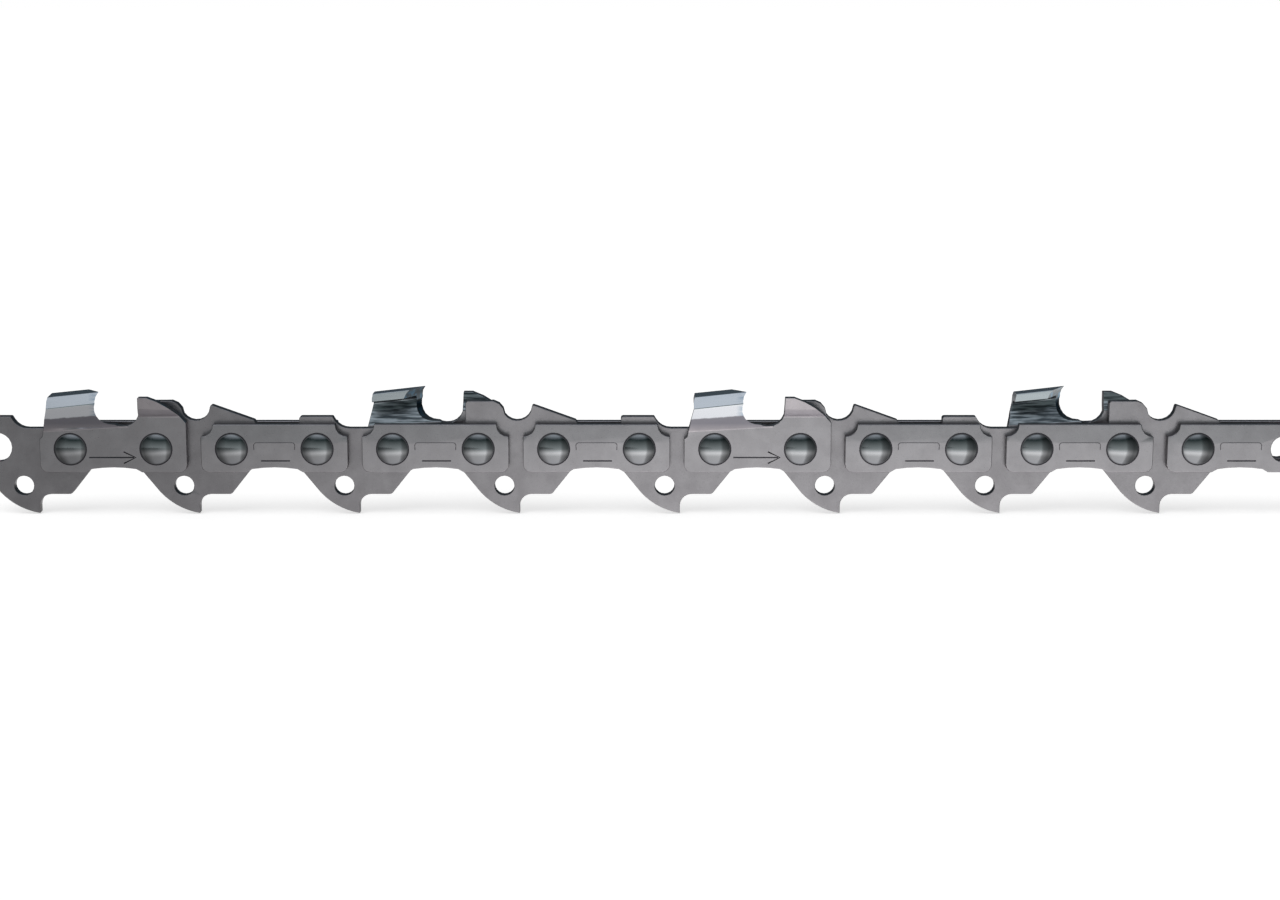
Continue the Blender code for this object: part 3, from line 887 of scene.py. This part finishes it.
def lower_ramp_end(bm, axis):
    """Lowers the end of a bumper's ramp, so that it runs out close to the strap beside it."""
    low, high = RAMP_END
    front = max(v.co.x for v in bm.verts)
    for vert in bm.verts:
        if low < vert.co.z - axis.z < high and front - vert.co.x < RAMP_REACH:
            vert.co.z -= RAMP_DROP


def finished_plate(node, rounding, material):
    """A flat plate with rounded edges."""
    bm = solid_copy(node, PLATE_SHORTEST)
    if node.startswith("bumper"):
        lower_ramp_end(bm, rivet_axis(1))
    if node.startswith("tie_strap"):
        lean_above_panel(bm, *rear_rivet(node))
    weigh_edges(bm, 0.0, 1.0)
    item = new_object(f"{node}_finish", bare_mesh(node, bm))
    round_edges(item, rounding)
    mark_rims(item.data)
    item.data.materials.append(material)
    return item


# How far the middle of the round stamping tool stays off a plate's face
LINE_LIFT = 0.045 * MM

# Lines in millimetres along and up from the rear rivet. Arcs are a centre, a radius, a first and a
# last angle in degrees, and steps: round the rivet, and then into the long line.
ROUND_RIVET = ((0.0, 0.0), 2.6, -2, 8, 3)
INTO_LINE = ((2.92, 0.41), 0.35, 188, 90, 6)
WITNESS = [(3.40, -1.38), (6.75, -1.38)]
ARROW_SHAFT = [(2.15, -0.98), (7.35, -0.98)]
ARROW_HEAD = [(6.15, -0.31), (7.55, -0.98), (6.15, -1.68)]
PANEL_DARKNESS = 0.75


def on_plate(node, outline):
    """Points (along, up) in millimetres from the rear rivet, set just off a plate's outer face."""
    centre, side = rear_rivet(node)
    out = side * (PLATE_FACE + LINE_LIFT)
    return [(centre.x + along * MM, out, centre.z + up * MM) for along, up in outline]


def arc_points(centre, radius, start, end, steps):
    """Points on an arc, in millimetres, with angles in degrees."""
    turns = [math.radians(start + (end - start) * step / steps) for step in range(steps + 1)]
    return [(centre[0] + radius * math.cos(t), centre[1] + radius * math.sin(t)) for t in turns]


def strap_lines(node):
    """A strap's long line, bent down beside each rivet."""
    half = arc_points(*ROUND_RIVET) + arc_points(*INTO_LINE)
    other = [(RIVET_PITCH / MM - along, up) for along, up in reversed(half)]
    return [on_plate(node, half + other)]


def witness_lines(node):
    """The short line under the middle of a strap, by which wear is judged."""
    return [on_plate(node, WITNESS)]


def arrow_lines(node):
    """The arrow on a cutter that shows which way the chain runs."""
    return [on_plate(node, ARROW_SHAFT), on_plate(node, ARROW_HEAD)]


class CHAIN_OT_drive_links(Operator):
    """Plain and bumper drive links with tumbled edges"""

    bl_idname = "chain.drive_links"
    bl_label = "Drive Links"

    def execute(self, context):
        material = shared(bpy.data.materials, "tumbled_link_steel", link_steel)
        for node in nodes_named("drive_link_", "bumper_link_"):
            item = finished_plate(node, context.scene.chain_sizes.edge_round, material)
            even_shading(item)
            stand_for(item, [node])
        return {"FINISHED"}


class CHAIN_OT_tie_straps(Operator):
    """Tie straps with tumbled edges and stamped lines"""

    bl_idname = "chain.tie_straps"
    bl_label = "Tie Straps"

    def execute(self, context):
        sizes = context.scene.chain_sizes
        material = shared(bpy.data.materials, "tumbled_strap_steel", strap_steel)
        for node in nodes_named("tie_strap_"):
            item = finished_plate(node, sizes.strap_round, material)
            stamp_lines(item, strap_lines(node), sizes.panel_width, PANEL_DARKNESS, material)
            stamp_lines(item, witness_lines(node), sizes.mark_width, 1.0, material)
            even_shading(item)
            stand_for(item, [node])
        return {"FINISHED"}


# Places along and up from the rear rivet: the filed face lies behind and above the first two. The
# top plate's rear corner is cut between FROM and TO, above FOOT, and belongs at PLACE.
FILED_FRONT = 6.5 * MM
FILED_FOOT = 2.6 * MM
CORNER_FROM = -2.20 * MM
CORNER_TO = -1.90 * MM
CORNER_PLACE = -2.34 * MM
CORNER_FOOT = 5.0 * MM

# How far across the middle the top plate's inner edge starts, and how far its foot is moved back
INNER_EDGE = 0.35 * MM
EDGE_LEAN = 0.14 * MM

# A face looks along a direction if more than this share of its normal does, or looks down
FACING = 0.3
DOWN = 0.4


def square_rear_corner(bm, axis):
    """Moves the top plate's rear corner back, as the stamped corner is nearly square."""
    for vert in bm.verts:
        along, up = vert.co.x - axis.x, vert.co.z - axis.z
        if CORNER_FROM < along < CORNER_TO and up > CORNER_FOOT:
            vert.co.x = axis.x + CORNER_PLACE


def lean_inner_edge(bm, axis, side):
    """Leans the sheared edge of the top plate, which the punch left narrower underneath."""
    bm.normal_update()
    for vert in bm.verts:
        under = any(face.normal.z < -0.5 for face in vert.link_faces)
        if under and vert.co.y * side < -INNER_EDGE and vert.co.z - axis.z > CORNER_FOOT:
            vert.co.y += side * EDGE_LEAN


def mark_places(mesh, axis, side):
    """Stores where each point of a cutter is, and which faces are inside its tooth or filed.

    Along and up are measured in millimetres from the rear rivet's axis.
    """
    store(mesh, "along", "POINT", [(vert.co.x - axis.x) / MM for vert in mesh.vertices])
    store(mesh, "up", "POINT", [(vert.co.z - axis.z) / MM for vert in mesh.vertices])
    inside, filed = [], []
    for face in mesh.polygons:
        raised = face.center.z - axis.z > FILED_FOOT
        inward = face.normal.y * side
        # Faces inside the tooth, under its top plate, take the dark scale and painted shade
        within = inward < -FACING or (face.normal.z < -DOWN and inward < FACING)
        within = within and face.center.y * side > 0 and abs(face.normal.x) < FACING
        inside.append(1.0 if raised and within else 0.0)
        filed.append(1.0 if raised and face.normal.x > FACING else 0.0)
    store(mesh, "inside", "FACE", inside)
    store(mesh, "filed", "FACE", filed)


class CHAIN_OT_cutters(Operator):
    """Right and left cutters with rounded bends, polished teeth and a direction arrow"""

    bl_idname = "chain.cutters"
    bl_label = "Cutters"

    def execute(self, context):
        sizes = context.scene.chain_sizes
        material = shared(bpy.data.materials, "hard_chromed_cutter_steel", cutter_steel)
        for node in nodes_named("right_cutter_", "left_cutter_"):
            bm = solid_copy(node, CUTTER_SHORTEST)
            axis, side = rear_rivet(node)
            square_rear_corner(bm, axis)
            lean_inner_edge(bm, axis, side)
            filed = Vector((axis.x + FILED_FRONT, 0.0, axis.z + FILED_FOOT))
            edge_share = min(1.0, sizes.edge_round / sizes.bend_round)
            weigh_edges(bm, 1.0, edge_share, lambda p: p.x < filed.x and p.z > filed.z)
            item = new_object(f"{node}_finish", bare_mesh(node, bm))
            round_edges(item, sizes.bend_round)
            mark_rims(item.data)
            item.data.materials.append(material)
            stamp_lines(item, arrow_lines(node), sizes.mark_width, 1.0, material)
            mark_places(item.data, axis, side)
            even_shading(item)
            stand_for(item, [node])
        return {"FINISHED"}


# The rivet under its heads, and the thin ring of metal that peening squeezes out round a head
SHANK_RADIUS = 1.47 * MM
HUB_RADIUS = 1.67 * MM
HUB_HALF = 0.67 * MM
RING_LIP = 0.11 * MM
RING_LIFT = 0.012 * MM
RING_DEPTH = 0.02 * MM
DOME_STEPS = 16
RIM_SHARE = 0.35


def rivet_profile(node):
    """Half outline of a rivet as (radius, along the axis): dome, the ring peening squeezes out, shank
    and hub.
    """
    rim = bpy.context.scene.chain_sizes.rivet_rim
    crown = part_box(node)[1].y
    seat = PLATE_FACE + RING_LIFT
    height = crown - seat
    dome = (HEAD_RADIUS**2 + height**2) / (2 * height)
    sweep = math.asin(HEAD_RADIUS / dome)
    half = []
    for step in range(DOME_STEPS + 1):
        turn = sweep * step / DOME_STEPS
        out, up = dome * math.sin(turn), crown - dome * (1 - math.cos(turn))
        over = min(rim, max(0.0, out - (HEAD_RADIUS - rim)))
        drop = rim - math.sqrt(rim**2 - over**2)
        half.append((out, max(seat, up - RIM_SHARE * drop)))
    ring = HEAD_RADIUS + RING_LIP
    foot = PLATE_FACE - RING_DEPTH
    half += [(HEAD_RADIUS + RING_DEPTH, seat), (ring, seat), (ring, foot)]
    half += [(SHANK_RADIUS, foot), (SHANK_RADIUS, HUB_HALF), (HUB_RADIUS, HUB_HALF)]
    return [(out, -up) for out, up in half] + [(out, up) for out, up in reversed(half)]


class CHAIN_OT_rivets(Operator):
    """Rivets with peened heads, a pair on each side link"""

    bl_idname = "chain.rivets"
    bl_label = "Rivets"

    def execute(self, context):
        sizes = context.scene.chain_sizes
        material = shared(bpy.data.materials, "peened_rivet_steel", peened_steel)
        tree = shared(bpy.data.node_groups, "turned_rivets", turned_rivet_tree)
        for body, members in BODIES.items():
            rivets = sorted(node for node in members if node.startswith("rivet_"))
            if not rivets:
                continue
            profile = [(out, along, 0.0) for out, along in rivet_profile(rivets[0])]
            mesh = bpy.data.meshes.new("rivet_profile")
            mesh.from_pydata(profile, [(i, i + 1) for i in range(len(profile) - 1)], [])
            item = new_object(f"rivets_{body}", mesh)
            low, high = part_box(rivets[0])
            values = {
                "Count": len(rivets),
                "First": (low + high) / 2,
                "Spacing": RIVET_PITCH,
                "Sides": sizes.rivet_sides,
                "Material": material,
            }
            add_tree_modifier(item, tree, values)
            settle(item)
            bm = bmesh.new()
            bm.from_mesh(item.data)
            bmesh.ops.recalc_face_normals(bm, faces=bm.faces)
            bm.to_mesh(item.data)
            bm.free()
            item.data.shade_smooth()
            item.data.set_sharp_from_angle(angle=RIVET_SHARP)
            stand_for(item, rivets)
        return {"FINISHED"}


# The light plan, in linear red, green and blue by degrees above the horizon. In front a strip box
# stands low over a pale table, the room above it is dark, and a bluish box hangs overhead.
LEVEL = 1.35
FRONT_SKY = [
    (-90, (0.7, 0.7, 0.75)),
    (-35, (0.9, 0.9, 0.9)),
    (-22, (1.5, 1.5, 1.5)),
    (-8, (0.45, 0.5, 0.5)),
    (28, (0.02, 0.04, 0.04)),
    (45, (0.5, 0.55, 0.6)),
    (65, (0.3, 0.35, 0.4)),
]

# Behind the chain the strip box is lower and narrower, and the room is dark up to the ceiling
BACK_SKY = [
    (-90, (0.7, 0.7, 0.75)),
    (-60, (0.35, 0.35, 0.35)),
    (-35, (0.3, 0.3, 0.3)),
    (-25, (0.8, 0.8, 0.8)),
    (-15, (1.0, 1.0, 1.0)),
    (-10, (0.2, 0.2, 0.2)),
    (0, (0.03, 0.04, 0.05)),
    (40, (0.05, 0.07, 0.08)),
    (90, (0.35, 0.4, 0.45)),
]

# How bright the dome is by degrees round it, with 0 behind the camera and 90 on the right: the
# boxes are wide in front, and the sides are dark
ROUND_SKY = [
    (-180, 1.0),
    (-100, 0.5),
    (-60, 0.3),
    (-30, 0.9),
    (25, 1.0),
    (32, 0.5),
    (55, 0.2),
    (80, 0.2),
    (100, 0.5),
    (180, 1.0),
]

# How much light passes the flag, by millimetres along the chain
LEFT_FLAG = [(-65, 0.4), (0, 1.0)]


def between(table, place):
    """A number or colour read from a table of steps."""
    for (low, first), (high, second) in zip(table, table[1:]):
        if place <= high:
            share = min(1.0, max(0.0, (place - low) / (high - low)))
            if isinstance(first, tuple):
                return tuple(a + (b - a) * share for a, b in zip(first, second))
            return first + (second - first) * share
    return table[-1][1]


def sky_colour(elevation, azimuth):
    """What polished steel sees. Azimuth 0 is the camera's side, and 90 is the right.

    Front and back meet between 80 and 100 degrees, and near the top all sides are alike.
    """
    front, back = between(FRONT_SKY, elevation), between(BACK_SKY, elevation)
    share = max(0.0, min(1.0, (abs(azimuth) - 80) / 20))
    dim = between(ROUND_SKY, azimuth)
    overhead = max(0.0, (abs(elevation) - 50) / 40)
    dim += (1 - dim) * overhead
    level = LEVEL * dim
    return tuple(level * (a * (1 - share) + b * share) for a, b in zip(front, back))


def grid_card(name, columns, rows, point, colour):
    """A grid of points with a tone on each, which only reflections see."""
    bm = bmesh.new()
    verts = [[bm.verts.new(point(c, r)) for r in range(rows + 1)] for c in range(columns + 1)]
    for c in range(columns):
        for r in range(rows):
            bm.faces.new((verts[c][r], verts[c + 1][r], verts[c + 1][r + 1], verts[c][r + 1]))
    mesh = bpy.data.meshes.new(name)
    bm.to_mesh(mesh)
    bm.free()
    layer = mesh.attributes.new("tone", "FLOAT_COLOR", "POINT")
    tones = [colour(c, r) for c in range(columns + 1) for r in range(rows + 1)]
    layer.data.foreach_set("color", [value for tone in tones for value in opaque(tone)])
    item = new_object(name, mesh)
    item.visible_camera = False
    item.visible_diffuse = False
    item.visible_shadow = False
    return item


def add_tone_material(item, name, kind):
    """A card's material: its tones glow, or dim what is seen through it."""
    material, tree, shader = new_material(name)
    tree.nodes.remove(shader)
    tone = add_node(tree, "ShaderNodeAttribute", {"attribute_name": "tone"})
    surface = add_node(tree, kind, {}, {"Color": tone.outputs["Color"]})
    tree.links.new(surface.outputs[0], tree.nodes["Material Output"].inputs["Surface"])
    item.data.materials.append(material)


DOME_RADIUS = 0.9
DOME_COLUMNS = 72
DOME_ROWS = 60
FLAG_COLUMNS = 60
FLAG_START = -0.15
FLAG_STEP = 0.005
FLAG_REACH = 0.2
FLAG_DROP = 0.05 * MM


def add_cards():
    """What the steel mirrors: a dome of soft boxes, and a flag that shades the left end."""

    def dome_angles(c, r):
        return -180 + c * 360 / DOME_COLUMNS, -90 + r * 180 / DOME_ROWS

    def dome_point(c, r):
        turn, up = (math.radians(angle) for angle in dome_angles(c, r))
        flat = DOME_RADIUS * math.cos(up)
        return (flat * math.sin(turn), -flat * math.cos(turn), DOME_RADIUS * math.sin(up))

    def dome_tone(c, r):
        azimuth, elevation = dome_angles(c, r)
        return sky_colour(elevation, azimuth)

    def flag_point(c, r):
        return (FLAG_START + FLAG_STEP * c, -FLAG_REACH * r, -FLAG_DROP)

    def flag_tone(c, r):
        return (between(LEFT_FLAG, flag_point(c, r)[0] / MM),) * 3

    dome = grid_card("studio_dome", DOME_COLUMNS, DOME_ROWS, dome_point, dome_tone)
    add_tone_material(dome, "soft_box_glow", "ShaderNodeEmission")
    flag = grid_card("left_flag", FLAG_COLUMNS, 1, flag_point, flag_tone)
    add_tone_material(flag, "flag_gauze", "ShaderNodeBsdfTransparent")


def seen_directly(tree):
    """1 for rays of the camera, mirrors and glass, and 0 for rays that only carry soft light."""
    path = add_node(tree, "ShaderNodeLightPath")
    seen = path.outputs["Is Camera Ray"]
    for ray in ("Is Glossy Ray", "Is Transmission Ray"):
        either = add_node(
            tree, "ShaderNodeMath", {"operation": "MAXIMUM"}, {0: seen, 1: path.outputs[ray]}
        )
        seen = either.outputs[0]
    return seen


FLOOR_REACH = 3.0
FLOOR_DROP = 0.1 * MM


def add_floor():
    """A plain pale floor that stays white and keeps the chain's soft shadow.

    Reflections don't see it, because the dome stands for the whole studio there.
    """
    studio = bpy.context.scene.chain_studio
    mesh = bpy.data.meshes.new("floor")
    corners = [(-1, -1), (1, -1), (1, 1), (-1, 1)]
    points = [(x * FLOOR_REACH, y * FLOOR_REACH, -FLOOR_DROP) for x, y in corners]
    mesh.from_pydata(points, [], [(0, 1, 2, 3)])
    material, tree, shader = new_material("matt_white_paper")
    tree.nodes.remove(shader)
    paper = add_node(tree, "ShaderNodeBsdfDiffuse", {}, {"Color": opaque(linear("#e8e8e8"))})
    strength = add_node(
        tree,
        "ShaderNodeMath",
        {"operation": "MULTIPLY"},
        {0: seen_directly(tree), 1: studio.floor_glow},
    )
    glow = add_node(tree, "ShaderNodeEmission", {}, {"Strength": strength.outputs[0]})
    both = add_node(tree, "ShaderNodeAddShader", {}, {0: paper.outputs[0], 1: glow.outputs[0]})
    tree.links.new(both.outputs[0], tree.nodes["Material Output"].inputs["Surface"])
    mesh.materials.append(material)
    floor = new_object("floor", mesh)
    floor.visible_glossy = False


DIM_LIGHT = 0.3


def add_world():
    """White for the camera and in reflections, and an even dim light for everything else."""
    world = bpy.data.worlds.new("studio")
    world.use_nodes = True
    world.cycles.sampling_method = "NONE"
    tree = world.node_tree
    strength = add_node(
        tree,
        "ShaderNodeMapRange",
        {},
        {"Value": seen_directly(tree), "To Min": DIM_LIGHT, "To Max": 1.0},
    )
    background = tree.nodes["Background"]
    background.inputs["Color"].default_value = opaque((1.0, 1.0, 1.0))
    tree.links.new(strength.outputs["Result"], background.inputs["Strength"])
    bpy.context.scene.world = world


def add_lamp():
    """A broad soft lamp above the camera's left. It lights the floor and gives no highlight."""
    studio = bpy.context.scene.chain_studio
    lamp = bpy.data.lights.new("soft_lamp", "SUN")
    lamp.energy = studio.sun_strength
    lamp.angle = math.radians(50)
    lamp.specular_factor = 0.0
    item = bpy.data.objects.new("soft_lamp", lamp)
    item.rotation_euler = (math.radians(28), math.radians(-16), 0.0)
    bpy.context.scene.collection.objects.link(item)


def add_camera():
    """The photograph's view of the chain's right-hand side, from a little above."""
    scene = bpy.context.scene
    studio = scene.chain_studio
    camera = bpy.data.cameras.new("camera")
    camera.sensor_width = 36.0
    camera.lens = camera.sensor_width * studio.focal_pixels / PHOTO_SIZE[0]
    camera.clip_start = 0.01
    camera.clip_end = 20.0
    item = bpy.data.objects.new("camera", camera)
    low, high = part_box("rivet_08")
    target = Vector(((low.x + high.x) / 2 + studio.offset, low.y, (low.z + high.z) / 2))
    back = Vector((0.0, -math.cos(studio.elevation), math.sin(studio.elevation)))
    item.location = target + back * (studio.focal_pixels * studio.scale)
    item.rotation_euler = (-back).to_track_quat("-Z", "Y").to_euler()
    scene.collection.objects.link(item)
    scene.camera = item


class CHAIN_OT_studio(Operator):
    """Floor, cards, lamp and camera"""

    bl_idname = "chain.studio"
    bl_label = "Studio"

    def execute(self, context):
        context.scene.view_settings.view_transform = "Standard"
        add_floor()
        add_cards()
        add_world()
        add_lamp()
        add_camera()
        return {"FINISHED"}


class CHAIN_PT_finish(Panel):
    """The chain's sizes, colours and pieces"""

    bl_label = "Saw Chain Finish"
    bl_idname = "CHAIN_PT_finish"
    bl_space_type = "VIEW_3D"
    bl_region_type = "UI"
    bl_category = "Saw Chain"

    def draw(self, context):
        scene = context.scene
        for group in (scene.chain_sizes, scene.chain_colours, scene.chain_studio):
            column = self.layout.column(align=True)
            for name in group.__annotations__:
                column.prop(group, name)
        for operator in OPERATORS:
            self.layout.operator(operator.bl_idname)


OPERATORS = (
    CHAIN_OT_drive_links,
    CHAIN_OT_tie_straps,
    CHAIN_OT_cutters,
    CHAIN_OT_rivets,
    CHAIN_OT_studio,
)
GROUPS = {"chain_sizes": ChainSizes, "chain_colours": ChainColours, "chain_studio": StudioSettings}


def register():
    """Adds the classes, and their settings to the scene."""
    for item in (*GROUPS.values(), *OPERATORS, CHAIN_PT_finish):
        bpy.utils.register_class(item)
    for name, group in GROUPS.items():
        setattr(bpy.types.Scene, name, PointerProperty(type=group))


def unregister():
    """Takes the settings and the classes away again."""
    for name in GROUPS:
        delattr(bpy.types.Scene, name)
    for item in (CHAIN_PT_finish, *reversed(OPERATORS), *GROUPS.values()):
        bpy.utils.unregister_class(item)


def main():
    """Builds every piece and the stage."""
    register()
    bpy.ops.chain.drive_links()
    bpy.ops.chain.tie_straps()
    bpy.ops.chain.cutters()
    bpy.ops.chain.rivets()
    bpy.ops.chain.studio()


if __name__ == "__main__":
    main()
